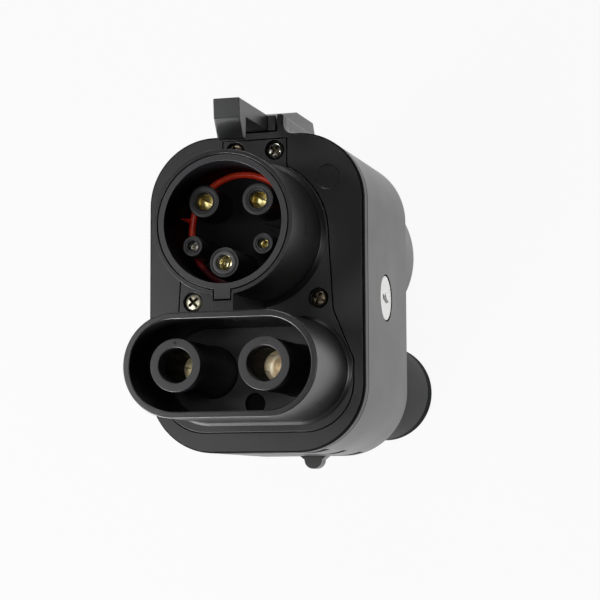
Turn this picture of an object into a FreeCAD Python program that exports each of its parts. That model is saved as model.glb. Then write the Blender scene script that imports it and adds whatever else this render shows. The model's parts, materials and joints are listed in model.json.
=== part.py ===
import FreeCAD, Part
import os
import Sketcher
from FreeCAD import Vector

# Electric vehicle charging adapter. It stands on the open ends of its two rear collars.
# +Z runs from the rear collars to the plug end, +Y runs towards the latch, +X is the badge side.
# The origin is under the middle of the outline, on the surface that the collars stand on.

os.makedirs("parts", exist_ok=True)
doc = FreeCAD.newDocument("charging_adapter")

# Driving sizes in millimetres
SIZES = {
    # body: a rounded tube with a front cover, standing on its rear collars
    "collar_length": 42,
    "housing_depth": 52,
    "cover_thick": 5,
    "body_width": 69,
    "body_above": 31.3,
    "body_below": 66.7,
    "body_corner": 21,
    "side_wall": 3,
    "rear_wall": 4,
    "edge_chamfer": 1.2,
    "seam_chamfer": 0.5,
    # round plug nose and its keyed inner barrel
    "nose_radius": 21.5,
    "nose_length": 31.4,
    "sleeve_wall": 1.25,
    "barrel_gap": 0.15,
    "barrel_wall": 2,
    "floor_height": 10.8,
    "floor_thick": 3,
    "floor_gap": 0.05,
    "barrel_ledge": 1.2,
    "tube_shoulder": 0.3,
    "barrel_flange": 2.5,
    "barrel_flange_radius": 23,
    "key_width": 5,
    "key_reach": 2.8,
    "key_start": 6,
    "key_gap": 0.3,
    # flange of the nose moulding, set flush in the cover
    "flange_thick": 3,
    "flange_gap": 0.3,
    "flange_radius": 23.3,
    "tab_half_width": 10.2,
    "tab_top": 29.7,
    "ear_half_width": 24.7,
    "ear_bottom": 23.5,
    "dc_flange_half_width": 31,
    "dc_flange_margin": 3,
    "dc_flange_corner": 15,
    # direct current shroud and its tubes
    "dc_drop": 41.9,
    "dc_width": 59.2,
    "dc_height": 30.9,
    "dc_wall": 2,
    "dc_length": 34.5,
    "dc_pitch": 27,
    "dc_tube_radius": 7.8,
    "dc_tube_bore": 5.2,
    "dc_tube_length": 34.1,
    "dc_tube_gap": 0.2,
    "carrier_thick": 3,
    "carrier_width": 52,
    "carrier_height": 21,
    "dc_socket_radius": 5.1,
    "dc_contact_bore": 4,
    "dc_contact_depth": 29,
    "dc_socket_setback": 4.2,
    "dc_collar_radius": 6.5,
    "pocket_radius": 3.2,
    "pocket_drop": 9.9,
    "pocket_depth": 2.4,
    "bridge_width": 6.6,
    "bridge_gap": 0.05,
    "foot_spread": 1.3,
    # screws
    "upper_screw_side": 6.4,
    "upper_screw_up": 26.3,
    "lower_screw_side": 20.2,
    "lower_screw_down": 20,
    "screw_head_radius": 2.8,
    "screw_head_thick": 1.8,
    "screw_shank_radius": 1.4,
    "screw_length": 13,
    "counterbore_gap": 0.3,
    "counterbore_depth": 2,
    "shank_gap": 0.3,
    "pilot_gap": 0.05,
    "boss_radius": 3.3,
    "pilot_depth": 14,
    # alternating current and signal contacts
    "power_side": 8.4,
    "power_up": 7.5,
    "earth_down": 11.8,
    "signal_side": 10.9,
    "signal_down": 6.2,
    "power_tube_radius": 4.85,
    "power_tube_height": 23.5,
    "earth_tube_radius": 4.5,
    "earth_tube_height": 29.5,
    "signal_tube_radius": 3.1,
    "signal_tube_height": 26.4,
    "power_contact_radius": 2.75,
    "power_contact_bore": 1.8,
    "earth_contact_radius": 2.6,
    "earth_contact_bore": 1.4,
    "signal_contact_radius": 1.65,
    "signal_contact_bore": 0.75,
    "contact_gap": 0.1,
    "contact_setback": 2.5,
    "contact_depth": 18,
    "contact_lip": 0.45,
    "contact_collar_extra": 0.6,
    "board_thick": 1.6,
    "board_radius": 19.5,
    "seal_wire": 1.6,
    "seal_gap": 0.1,
    # latch
    "latch_width": 8.2,
    "lever_width": 13,
    "trough_gap": 0.8,
    "hump_wall": 1.4,
    "hump_top": 37.5,
    "hump_fillet": 3.5,
    "hump_end": 8,
    "trough_floor": 30,
    "cover_lip": 32,
    "hook_reach": 27.8,
    "crease_drop": 5.8,
    "crease_back": 0.6,
    "hook_bottom": 25.9,
    "hook_slope": 3.6,
    "hook_thick": 6.6,
    "arm_bottom": 32.5,
    "lever_step": 0.7,
    "pad_start": 24.7,
    "pad_top": 42.9,
    "pad_end": 43.2,
    "pad_heel": 46,
    "pad_heel_top": 38.4,
    "pad_bottom": 34,
    "pivot_back": 9,
    "pivot_up": 35.2,
    "pin_radius": 1.5,
    "pin_gap": 0.05,
    "pin_short": 0.2,
    "spring_back": 32,
    "spring_radius": 2.2,
    "spring_wire": 0.5,
    "spring_turns": 4,
    "spring_seat": 38,
    "spring_gap": 0.4,
    # underside grip grooves and lug
    "groove_count": 3,
    "groove_first": 9,
    "groove_pitch": 20.5,
    "groove_width": 5,
    "groove_depth": 1.2,
    "lug_half_width": 4.5,
    "lug_round": 3,
    "lug_drop": 1.2,
    "lug_thick": 5,
    # badge recess on the right side and round mark on the cover
    "badge_radius": 7,
    "badge_gap": 0.5,
    "badge_thick": 0.6,
    "badge_recess": 0.8,
    "mark_side": 23.3,
    "mark_up": 17.2,
    "mark_radius": 3.75,
    "mark_depth": 0.4,
    # rear inlet
    "inlet_up": 3.8,
    "round_collar_radius": 27.3,
    "collar_wall": 1.6,
    "dc_inlet_drop": 44,
    "dc_collar_width": 66.5,
    "dc_collar_height": 33,
    "rear_flange_thick": 2.5,
    "rear_flange_half_width": 32,
    "rear_flange_above": 28.6,
    "rear_flange_below": 64,
    "rear_flange_corner": 17.2,
    "rear_upper_side": 24.3,
    "rear_upper_up": 21.9,
    "rear_middle_side": 28.4,
    "rear_middle_down": 23.8,
    "rear_screw_length": 10,
    "rear_boss_depth": 12,
    "rim_seal_length": 6,
    "rim_seal_thick": 0.7,
    # rear insulating inserts and pins
    "insert_radius": 20.5,
    "insert_flat": 17.2,
    "insert_recess": 3,
    "insert_gap": 0.2,
    "insert_lip": 1.8,
    "insert_lip_thick": 3,
    "rear_power_side": 14.2,
    "rear_signal_side": 7.3,
    "rear_signal_up": 12.4,
    "rear_power_hole": 5.2,
    "rear_signal_hole": 3.4,
    "rear_power_pin": 3,
    "rear_signal_pin": 1.5,
    "rear_hole_depth": 27,
    "pin_setback": 5,
    "dc_insert_width": 54,
    "dc_insert_height": 25,
    "dc_hole_radius": 8.3,
    "dc_hole_depth": 31,
    "dc_pin_radius": 4,
    "pin_root_extra": 1.2,
    "pin_root_rise": 2.5,
    # conductors inside
    "busbar_width": 12,
    "busbar_thick": 8,
    "power_wire_width": 3.6,
    "earth_wire_width": 3,
    "signal_wire_width": 1.4,
    "wire_rise": 10,
    "wire_start": 4,
    "wire_gap": 0.2,
    # cover gasket
    "gasket_width": 1.2,
    "gasket_depth": 1,
    "gasket_gap": 0.05,
}

sheet = doc.addObject("Spreadsheet::Sheet", "Sizes")
for row, (alias, number) in enumerate(SIZES.items(), start=1):
    sheet.set(f"A{row}", alias)
    sheet.set(f"B{row}", str(number))
    sheet.setAlias(f"B{row}", alias)
doc.recompute()


class Size:
    """A number with the spreadsheet expression that it comes from."""

    def __init__(self, number, text):
        self.number = number
        self.text = text

    def _join(self, sign, other, number):
        return Size(number, f"({self.text} {sign} {Size.of(other).text})")

    @staticmethod
    def of(other):
        return other if isinstance(other, Size) else Size(float(other), repr(float(other)))

    def __add__(self, other):
        return self._join("+", other, self.number + Size.of(other).number)

    def __sub__(self, other):
        return self._join("-", other, self.number - Size.of(other).number)

    def __mul__(self, other):
        return self._join("*", other, self.number * Size.of(other).number)

    def __truediv__(self, other):
        return self._join("/", other, self.number / Size.of(other).number)

    def __neg__(self):
        return Size(-self.number, f"(-1 * {self.text})")


class Sizes:
    """Named access to the sheet's cells."""

    def __getattr__(self, alias):
        return Size(float(sheet.get(alias)), f"Sizes.{alias}")


s = Sizes()
ZERO = Size(0.0, "0")


def bind(item, prop, size):
    item.setExpression(prop, Size.of(size).text)


# Bodies, sketches and features

def new_body(name):
    body = doc.addObject("PartDesign::Body", name)
    body.Label = name
    return body


def place(item, x, y, z):
    for axis, size in (("x", x), ("y", y), ("z", z)):
        bind(item, f".Placement.Base.{axis}", size)


def new_sketch(body, plane="XY_Plane", level=ZERO):
    """A sketch on one of the body's own origin planes, moved along its normal by level."""
    sketch = body.newObject("Sketcher::SketchObject", body.Name + "_sketch")
    planes = {item.Role: item for item in body.Origin.OriginFeatures}
    sketch.AttachmentSupport = [(planes[plane], "")]
    sketch.MapMode = "FlatFace"
    bind(sketch, ".AttachmentOffset.Base.z", level)
    return sketch


def fix(sketch, kind, *where, size):
    """A dimension that follows a size of the sheet."""
    index = sketch.addConstraint(Sketcher.Constraint(kind, *where, size.number))
    name = f"{kind}_{index}"
    sketch.renameConstraint(index, name)
    bind(sketch, f"Constraints.{name}", size)


def fix_point(sketch, geometry, point, x, y):
    fix(sketch, "DistanceX", -1, 1, geometry, point, size=Size.of(x))
    fix(sketch, "DistanceY", -1, 1, geometry, point, size=Size.of(y))


def add_circle(sketch, x, y, radius):
    x, y, radius = Size.of(x), Size.of(y), Size.of(radius)
    circle = Part.Circle(Vector(x.number, y.number, 0), Vector(0, 0, 1), radius.number)
    index = sketch.addGeometry(circle, False)
    fix(sketch, "Radius", index, size=radius)
    fix_point(sketch, index, 3, x, y)


def add_outline(sketch, points):
    """A closed outline. Each point is (x, y) or (x, y, radius), where the radius bends the stretch
    to the next point: above zero it bulges to the right of the way there, below zero to the left."""
    corners = [(Size.of(p[0]), Size.of(p[1]), p[2] if len(p) > 2 else None) for p in points]
    indices = []
    for (x, y, bend), (next_x, next_y, _) in zip(corners, corners[1:] + corners[:1]):
        start = Vector(x.number, y.number, 0)
        end = Vector(next_x.number, next_y.number, 0)
        if bend is None:
            indices.append((sketch.addGeometry(Part.LineSegment(start, end), False), 1, 2, None))
            continue
        radius = abs(bend.number)
        side = 1 if bend.number > 0 else -1
        half = (end - start).Length / 2
        along = (end - start).normalize()
        right = Vector(along.y, -along.x, 0) * side
        drop = max(radius * radius - half * half, 0) ** 0.5
        centre = (start + end) / 2 - right * drop
        middle = centre + right * radius
        arc = Part.Arc(start, middle, end)
        index = sketch.addGeometry(arc, False)
        # an arc of a sketch always runs counterclockwise, so one that bulges left is stored reversed
        first, last = (1, 2) if side > 0 else (2, 1)
        indices.append((index, first, last, bend if side > 0 else -bend))
    for (index, first, last, bend), (x, y, _) in zip(indices, corners):
        fix_point(sketch, index, first, x, y)
    for here, after in zip(indices, indices[1:] + indices[:1]):
        sketch.addConstraint(Sketcher.Constraint("Coincident", here[0], here[2], after[0], after[1]))
    for index, _, _, bend in indices:
        if bend is not None:
            fix(sketch, "Radius", index, size=bend)


def add_rounded(sketch, left, right, low, high, corner):
    """A rectangle with round corners, run counterclockwise."""
    add_outline(sketch, [
        (left + corner, low), (right - corner, low, corner),
        (right, low + corner), (right, high - corner, corner),
        (right - corner, high), (left + corner, high, corner),
        (left, high - corner), (left, low + corner, corner),
    ])


def add_racetrack(sketch, width, height, y):
    """Two straight sides joined by two half circles, with its middle at x = 0."""
    reach = width / 2 - height / 2
    low, high = y - height / 2, y + height / 2
    index = []
    for a, b in ((-reach, reach), (reach, -reach)):
        level = low if not index else high
        line = Part.LineSegment(Vector(a.number, level.number, 0), Vector(b.number, level.number, 0))
        index.append(sketch.addGeometry(line, False))
        end = Part.Circle(Vector(b.number, y.number, 0), Vector(0, 0, 1), height.number / 2)
        quarter = FreeCAD.Units.Quantity("90 deg").getValueAs("rad").Value
        turn = -quarter if len(index) == 1 else quarter
        index.append(sketch.addGeometry(Part.ArcOfCircle(end, turn, turn + 2 * quarter), False))
    lower, right, upper, left = index
    for a, b, c, d in ((lower, 2, right, 1), (right, 2, upper, 1), (upper, 2, left, 1), (left, 2, lower, 1)):
        sketch.addConstraint(Sketcher.Constraint("Coincident", a, b, c, d))
    fix_point(sketch, right, 3, reach, y)
    fix_point(sketch, left, 3, -reach, y)
    fix(sketch, "Radius", right, size=height / 2)
    fix(sketch, "Radius", left, size=height / 2)
    sketch.addConstraint(Sketcher.Constraint("Vertical", right, 1, right, 3))
    sketch.addConstraint(Sketcher.Constraint("Vertical", right, 2, right, 3))
    sketch.addConstraint(Sketcher.Constraint("Vertical", left, 1, left, 3))
    sketch.addConstraint(Sketcher.Constraint("Vertical", left, 2, left, 3))


def pad(body, sketch, length, both_sides=False):
    feature = body.newObject("PartDesign::Pad", body.Name + "_pad")
    feature.Profile = sketch
    if both_sides:
        feature.SideType = "Symmetric"
    bind(feature, "Length", length)
    return feature


def spread_foot(body, sketch, rise):
    """A low pad that draws in by as much as it rises, where a wall stands on a plate."""
    foot = pad(body, sketch, rise)
    foot.TaperAngle = -45
    return foot


def cut(body, sketch, depth, upward=False, both_sides=False):
    """A pocket that runs against the sketch's normal, or along it where upward is set."""
    feature = body.newObject("PartDesign::Pocket", body.Name + "_pocket")
    feature.Profile = sketch
    if both_sides:
        feature.SideType = "Symmetric"
    feature.Reversed = upward
    bind(feature, "Length", depth)
    return feature


def edges_where(feature, test):
    """Names of the edges of a feature that pass a test on their centre and bounding box."""
    doc.recompute()
    names = []
    for number, edge in enumerate(feature.Shape.Edges, start=1):
        if test(edge.BoundBox, edge):
            names.append(f"Edge{number}")
    if not names:
        raise RuntimeError(f"no edge of {feature.Name} passes the test")
    return names


def chamfer_edges(body, feature, test, size):
    chamfer = body.newObject("PartDesign::Chamfer", body.Name + "_chamfer")
    chamfer.Base = (feature, edges_where(feature, test))
    bind(chamfer, "Size", size)
    return chamfer


def near(a, b):
    return abs(a - b) < 0.01


def flat_at(level):
    """True for the edges that lie in the plane z = level."""
    return lambda box, edge: near(box.ZMin, level.number) and near(box.ZMax, level.number)


# Levels along Z and lines along Y that many pieces share. The round socket's axis lies so high
# that the origin comes out midway between the latch's thumb pad and the lug underneath.

housing_rear = s.collar_length
cover_back = housing_rear + s.housing_depth
front = cover_back + s.cover_thick
inside_rear = housing_rear + s.rear_wall
axis_y = (s.body_below + s.lug_drop + s.lug_round - s.pad_top) / 2
dc_y = axis_y - s.dc_drop
inlet_y = axis_y + s.inlet_up
dc_inlet_y = axis_y - s.dc_inlet_drop
barrel_back = cover_back - s.barrel_flange
barrel_radius = s.nose_radius - s.sleeve_wall - s.barrel_gap
barrel_inside = barrel_radius - s.barrel_wall
carrier_back = cover_back - s.carrier_thick
insert_back = inside_rear + s.insert_lip_thick
trough_half = s.lever_width / 2 + s.trough_gap
hump_half = trough_half + s.hump_wall

FRONT_SCREWS = (
    (s.upper_screw_side, axis_y + s.upper_screw_up),
    (-s.upper_screw_side, axis_y + s.upper_screw_up),
    (s.lower_screw_side, axis_y - s.lower_screw_down),
    (-s.lower_screw_side, axis_y - s.lower_screw_down),
)
REAR_SCREWS = (
    (s.rear_upper_side, axis_y + s.rear_upper_up),
    (-s.rear_upper_side, axis_y + s.rear_upper_up),
    (s.rear_middle_side, axis_y - s.rear_middle_down),
    (-s.rear_middle_side, axis_y - s.rear_middle_down),
)

parts = []


def add_body_outline(sketch, inset):
    half = s.body_width / 2 - inset
    add_rounded(sketch, -half, half, axis_y - s.body_below + inset, axis_y + s.body_above - inset,
                s.body_corner - inset)


def add_hump_outline(sketch):
    """The raised trough of the latch, with hollow flanks that run into the body's top."""
    top, base = axis_y + s.hump_top, axis_y + s.body_above
    root = base - s.side_wall / 2
    foot = hump_half + s.hump_fillet
    add_outline(sketch, [
        (-foot, root), (foot, root), (foot, base, -s.hump_fillet),
        (hump_half, base + s.hump_fillet), (hump_half, top), (-hump_half, top),
        (-hump_half, base + s.hump_fillet, -s.hump_fillet), (-foot, base),
    ])


def add_flange_outline(sketch_body, level, grow, feature):
    """The keyhole outline of the nose flange, as overlapping pads or pockets."""
    disc = new_sketch(sketch_body, level=level)
    add_circle(disc, ZERO, axis_y, s.flange_radius + grow)
    feature(disc)
    tab = new_sketch(sketch_body, level=level)
    half = s.tab_half_width + grow
    add_outline(tab, [(-half, axis_y), (half, axis_y), (half, axis_y + s.tab_top + grow),
                      (-half, axis_y + s.tab_top + grow)])
    feature(tab)
    ear = new_sketch(sketch_body, level=level)
    shoulder, half = s.flange_radius + grow, s.ear_half_width + grow
    wide = s.dc_flange_half_width + grow
    add_outline(ear, [(-shoulder, axis_y), (-half, axis_y - s.ear_bottom),
                      (-wide, dc_y + s.dc_flange_margin), (wide, dc_y + s.dc_flange_margin),
                      (half, axis_y - s.ear_bottom), (shoulder, axis_y)])
    feature(ear)
    skirt = new_sketch(sketch_body, level=level)
    low = dc_y - s.dc_height / 2 - s.dc_flange_margin - grow
    corner = s.dc_flange_corner + grow
    add_outline(skirt, [(-wide + corner, low), (wide - corner, low, corner), (wide, low + corner),
                        (wide, dc_y + s.dc_flange_margin), (-wide, dc_y + s.dc_flange_margin),
                        (-wide, low + corner, corner)])
    feature(skirt)


def add_insert_outline(sketch, grow):
    """A circle with a flat on the latch side, for the round rear insert."""
    radius = s.insert_radius + grow
    flat = s.insert_flat + grow
    circle = Part.Circle(Vector(0, inlet_y.number, 0), Vector(0, 0, 1), radius.number)
    half = (radius.number ** 2 - flat.number ** 2) ** 0.5
    left = Vector(-half, inlet_y.number + flat.number, 0)
    right = Vector(half, inlet_y.number + flat.number, 0)
    arc = sketch.addGeometry(Part.ArcOfCircle(circle, circle.parameter(left), circle.parameter(right)), False)
    chord = sketch.addGeometry(Part.LineSegment(right, left), False)
    sketch.addConstraint(Sketcher.Constraint("Coincident", arc, 2, chord, 1))
    sketch.addConstraint(Sketcher.Constraint("Coincident", chord, 2, arc, 1))
    sketch.addConstraint(Sketcher.Constraint("Horizontal", chord))
    fix(sketch, "Radius", arc, size=radius)
    fix_point(sketch, arc, 3, ZERO, inlet_y)
    fix(sketch, "DistanceY", -1, 1, chord, 1, size=inlet_y + flat)


# Main housing: a deep moulded tube with a rear wall, screw bosses, the latch trough,
# grip grooves and a lug underneath, and a round recess for the badge

def main_housing():
    body = new_body("main_housing")
    shell = new_sketch(body, level=housing_rear)
    add_body_outline(shell, ZERO)
    outer = pad(body, shell, s.housing_depth)
    soft = chamfer_edges(body, outer, flat_at(housing_rear), s.edge_chamfer)
    chamfer_edges(body, soft, flat_at(cover_back), s.seam_chamfer)
    hollow = new_sketch(body, level=cover_back)
    add_body_outline(hollow, s.side_wall)
    cut(body, hollow, s.housing_depth - s.rear_wall)
    hump = new_sketch(body, level=housing_rear + s.hump_end)
    add_hump_outline(hump)
    pad(body, hump, s.housing_depth - s.hump_end)
    trough = new_sketch(body, level=cover_back)
    add_outline(trough, [
        (-trough_half, axis_y + s.trough_floor), (trough_half, axis_y + s.trough_floor),
        (trough_half, axis_y + s.hump_top + s.hump_fillet), (-trough_half, axis_y + s.hump_top + s.hump_fillet),
    ])
    cut(body, trough, s.housing_depth - s.hump_end - s.hump_wall)
    pin_hole = new_sketch(body, "YZ_Plane")
    add_circle(pin_hole, axis_y + s.pivot_up, front - s.pivot_back, s.pin_radius)
    cut(body, pin_hole, s.body_width, both_sides=True)
    boss = new_sketch(body, level=inside_rear)
    for x, y in FRONT_SCREWS:
        add_circle(boss, x, y, s.boss_radius)
    pad(body, boss, s.housing_depth - s.rear_wall)
    pilot = new_sketch(body, level=cover_back)
    for x, y in FRONT_SCREWS:
        add_circle(pilot, x, y, s.screw_shank_radius + s.pilot_gap)
    cut(body, pilot, s.pilot_depth)
    rear_boss = new_sketch(body, level=inside_rear)
    for x, y in REAR_SCREWS:
        add_circle(rear_boss, x, y, s.boss_radius)
    pad(body, rear_boss, s.rear_boss_depth)
    groove_back = cover_back - s.gasket_depth
    gasket = new_sketch(body, level=cover_back)
    middle = s.side_wall / 2
    add_body_outline(gasket, middle - s.gasket_width / 2)
    add_body_outline(gasket, middle + s.gasket_width / 2)
    cut(body, gasket, cover_back - groove_back)
    recess = new_sketch(body, level=housing_rear)
    grow = s.insert_gap
    half = s.rear_flange_half_width + grow
    add_rounded(recess, -half, half, axis_y - s.rear_flange_below - grow,
                axis_y + s.rear_flange_above + grow, s.rear_flange_corner + grow)
    cut(body, recess, s.rear_flange_thick, upward=True)
    openings = new_sketch(body, level=housing_rear)
    add_insert_outline(openings, s.insert_gap)
    add_racetrack(openings, s.dc_insert_width + s.insert_gap * 2, s.dc_insert_height + s.insert_gap * 2, dc_inlet_y)
    cut(body, openings, s.rear_wall, upward=True)
    rear_pilot = new_sketch(body, level=housing_rear)
    for x, y in REAR_SCREWS:
        add_circle(rear_pilot, x, y, s.screw_shank_radius + s.pilot_gap)
    cut(body, rear_pilot, s.rear_boss_depth, upward=True)
    for number in range(int(s.groove_count.number)):
        middle = front - s.groove_first - s.groove_pitch * number
        groove = new_sketch(body, level=middle + s.groove_width / 2)
        half, low = s.body_width / 2, axis_y - s.body_below
        add_outline(groove, [
            (-half, low - s.body_corner), (half, low - s.body_corner),
            (half, low + s.groove_depth), (-half, low + s.groove_depth),
        ])
        cut(body, groove, s.groove_width)
    lug = new_sketch(body, level=housing_rear)
    low = axis_y - s.body_below
    add_outline(lug, [
        (-s.lug_half_width, low + s.edge_chamfer), (-s.lug_half_width, low),
        (-s.lug_round, low - s.lug_drop), (s.lug_round, low - s.lug_drop), (s.lug_half_width, low),
        (s.lug_half_width, low + s.edge_chamfer),
    ])
    pad(body, lug, s.lug_thick)
    tip = new_sketch(body, level=housing_rear)
    add_circle(tip, ZERO, low - s.lug_drop, s.lug_round)
    pad(body, tip, s.lug_thick)
    badge = new_sketch(body, "YZ_Plane", s.body_width / 2)
    add_circle(badge, badge_y, badge_z, s.badge_radius + s.badge_gap)
    cut(body, badge, s.badge_recess)
    parts.append(body)


badge_y = axis_y + s.body_above / 2 - s.body_below / 2
badge_z = housing_rear + (s.housing_depth + s.cover_thick) / 2


# Front cover: the flat plate that closes the housing, recessed for the nose flange

def front_cover():
    body = new_body("front_cover")
    plate = new_sketch(body, level=cover_back)
    add_body_outline(plate, ZERO)
    slab = pad(body, plate, s.cover_thick)
    chamfer_edges(body, slab, flat_at(front), s.seam_chamfer)
    hump = new_sketch(body, level=cover_back)
    add_hump_outline(hump)
    pad(body, hump, s.cover_thick)
    notch = new_sketch(body, level=front)
    lip, top = axis_y + s.cover_lip, axis_y + s.hump_top + s.hump_fillet
    add_outline(notch, [(-trough_half, lip), (trough_half, lip), (trough_half, top), (-trough_half, top)])
    cut(body, notch, s.cover_thick)
    add_flange_outline(body, front, s.flange_gap, lambda sketch: cut(body, sketch, s.flange_thick))
    openings = new_sketch(body, level=front)
    add_circle(openings, ZERO, axis_y, barrel_radius + s.flange_gap)
    for side in (s.dc_pitch / 2, -s.dc_pitch / 2):
        add_circle(openings, side, dc_y, s.dc_tube_radius + s.dc_tube_gap)
    for x, y in FRONT_SCREWS:
        add_circle(openings, x, y, s.screw_shank_radius + s.shank_gap)
    cut(body, openings, s.cover_thick)
    mark = new_sketch(body, level=front)
    add_circle(mark, s.mark_side, axis_y + s.mark_up, s.mark_radius)
    cut(body, mark, s.mark_depth)
    parts.append(body)


# Cover gasket: a rubber band in the groove of the housing's rim

def cover_gasket():
    body = new_body("cover_gasket")
    band = new_sketch(body, level=cover_back - s.gasket_depth)
    half = s.gasket_width / 2 - s.gasket_gap
    add_body_outline(band, s.side_wall / 2 - half)
    add_body_outline(band, s.side_wall / 2 + half)
    pad(body, band, s.gasket_depth)
    parts.append(body)


# Nose moulding: the keyhole flange with its screw seats and the passages for the barrel and the tubes

def nose_moulding():
    body = new_body("nose_moulding")
    add_flange_outline(body, front - s.flange_thick, ZERO, lambda sketch: pad(body, sketch, s.flange_thick))
    holes = new_sketch(body, level=front)
    add_circle(holes, ZERO, axis_y, s.nose_radius - s.sleeve_wall)
    for side in (s.dc_pitch / 2, -s.dc_pitch / 2):
        add_circle(holes, side, dc_y, s.dc_tube_radius + s.dc_tube_gap)
    for x, y in FRONT_SCREWS:
        add_circle(holes, x, y, s.screw_shank_radius + s.shank_gap)
    cut(body, holes, s.flange_thick)
    heads = new_sketch(body, level=front)
    for x, y in FRONT_SCREWS:
        add_circle(heads, x, y, s.screw_head_radius + s.counterbore_gap)
    cut(body, heads, s.counterbore_depth)
    pocket = new_sketch(body, level=front)
    add_circle(pocket, ZERO, dc_y - s.pocket_drop, s.pocket_radius)
    cut(body, pocket, s.pocket_depth)
    parts.append(body)


# Round sleeve: the thin outer wall of the round nose, with the keyway and the bridge to the shroud

def round_sleeve():
    body = new_body("round_sleeve")
    sleeve = new_sketch(body, level=front)
    add_circle(sleeve, ZERO, axis_y, s.nose_radius)
    pad(body, sleeve, s.nose_length)
    foot = new_sketch(body, level=front)
    add_circle(foot, ZERO, axis_y, s.nose_radius + s.foot_spread)
    spread_foot(body, foot, s.foot_spread)
    bridge = new_sketch(body, level=front)
    half = s.bridge_width / 2
    low, high = dc_y + s.dc_height / 2, axis_y - s.nose_radius + s.sleeve_wall / 2
    add_outline(bridge, [(-half, low), (half, low), (half, high), (-half, high)])
    pad(body, bridge, s.nose_length)
    bore = new_sketch(body, level=front + s.nose_length)
    add_circle(bore, ZERO, axis_y, s.nose_radius - s.sleeve_wall)
    cut(body, bore, s.nose_length)
    keyway = new_sketch(body, level=front + s.nose_length)
    half = s.key_width / 2 + s.key_gap
    high, low = axis_y - barrel_inside, axis_y - barrel_radius - s.key_reach - s.key_gap
    add_outline(keyway, [(-half, low), (half, low), (half, high), (-half, high)])
    cut(body, keyway, s.nose_length - s.key_start + s.key_gap)
    parts.append(body)


# Direct current shroud: the racetrack wall round the two long tubes. The sleeve's bridge ends in a notch of its foot.

def dc_shroud():
    body = new_body("dc_shroud")
    wall = new_sketch(body, level=front)
    add_racetrack(wall, s.dc_width, s.dc_height, dc_y)
    pad(body, wall, s.dc_length)
    foot = new_sketch(body, level=front)
    add_racetrack(foot, s.dc_width + s.foot_spread * 2, s.dc_height + s.foot_spread * 2, dc_y)
    spread_foot(body, foot, s.foot_spread)
    inside = new_sketch(body, level=front + s.dc_length)
    add_racetrack(inside, s.dc_width - s.dc_wall * 2, s.dc_height - s.dc_wall * 2, dc_y)
    cut(body, inside, s.dc_length)
    notch = new_sketch(body, level=front)
    half = s.bridge_width / 2 + s.bridge_gap
    low, high = dc_y + s.dc_height / 2, dc_y + s.dc_height / 2 + s.foot_spread
    add_outline(notch, [(-half, low), (half, low), (half, high), (-half, high)])
    cut(body, notch, s.foot_spread, upward=True)
    parts.append(body)


# The five contacts of the round nose: place, tube, height above the cover, contact and its hole

TUBES = {
    "l1": (-s.power_side, axis_y + s.power_up, s.power_tube_radius, s.power_tube_height,
           s.power_contact_radius, s.power_contact_bore),
    "n": (s.power_side, axis_y + s.power_up, s.power_tube_radius, s.power_tube_height,
          s.power_contact_radius, s.power_contact_bore),
    "pe": (ZERO, axis_y - s.earth_down, s.earth_tube_radius, s.earth_tube_height,
           s.earth_contact_radius, s.earth_contact_bore),
    "pp": (-s.signal_side, axis_y - s.signal_down, s.signal_tube_radius, s.signal_tube_height,
           s.signal_contact_radius, s.signal_contact_bore),
    "cp": (s.signal_side, axis_y - s.signal_down, s.signal_tube_radius, s.signal_tube_height,
           s.signal_contact_radius, s.signal_contact_bore),
}
tube_back = cover_back
WIRES = {
    "l1": s.power_wire_width, "n": s.power_wire_width, "pe": s.earth_wire_width,
    "pp": s.signal_wire_width, "cp": s.signal_wire_width,
}


# Nose barrel: the keyed inner wall of the round nose, with a ledge that its floor rests on

floor_top = front + s.floor_height
floor_back = floor_top - s.floor_thick


def nose_barrel():
    body = new_body("nose_barrel")
    flange = new_sketch(body, level=barrel_back)
    add_circle(flange, ZERO, axis_y, s.barrel_flange_radius)
    pad(body, flange, s.barrel_flange)
    barrel = new_sketch(body, level=barrel_back)
    add_circle(barrel, ZERO, axis_y, barrel_radius)
    top = front + s.nose_length
    pad(body, barrel, top - barrel_back)
    key = new_sketch(body, level=front + s.key_start)
    half = s.key_width / 2
    add_outline(key, [(-half, axis_y - barrel_radius - s.key_reach), (half, axis_y - barrel_radius - s.key_reach),
                      (half, axis_y - barrel_inside - s.barrel_wall / 2),
                      (-half, axis_y - barrel_inside - s.barrel_wall / 2)])
    pad(body, key, s.nose_length - s.key_start)
    cavity = new_sketch(body, level=top)
    add_circle(cavity, ZERO, axis_y, barrel_inside)
    cut(body, cavity, top - floor_back)
    rear = new_sketch(body, level=barrel_back)
    add_circle(rear, ZERO, axis_y, barrel_inside - s.barrel_ledge)
    cut(body, rear, floor_back - barrel_back, upward=True)
    parts.append(body)


# Socket insulator: the barrel's floor, pierced for the five contact tubes

def socket_insulator():
    body = new_body("socket_insulator")
    disc = new_sketch(body, level=floor_back)
    add_circle(disc, ZERO, axis_y, barrel_inside - s.floor_gap)
    for x, y, radius, *_ in TUBES.values():
        add_circle(disc, x, y, radius + s.floor_gap)
    pad(body, disc, s.floor_thick)
    parts.append(body)


# Contact tubes: insulating tubes whose shoulders hold them under the floor, each with a narrower mouth

def contact_tubes():
    for name, (x, y, radius, height, contact, _) in TUBES.items():
        body = new_body(name + "_tube")
        place(body, x, y, tube_back)
        top = front + height - tube_back
        wall = new_sketch(body)
        add_circle(wall, ZERO, ZERO, radius)
        pad(body, wall, top)
        shoulder = new_sketch(body)
        add_circle(shoulder, ZERO, ZERO, radius + s.tube_shoulder)
        pad(body, shoulder, floor_back - tube_back)
        mouth = new_sketch(body, level=top)
        add_circle(mouth, ZERO, ZERO, contact + s.contact_gap - s.contact_lip)
        cut(body, mouth, top)
        seat = new_sketch(body)
        add_circle(seat, ZERO, ZERO, contact + s.contact_gap)
        cut(body, seat, top - s.contact_setback, upward=True)
        parts.append(body)


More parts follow.
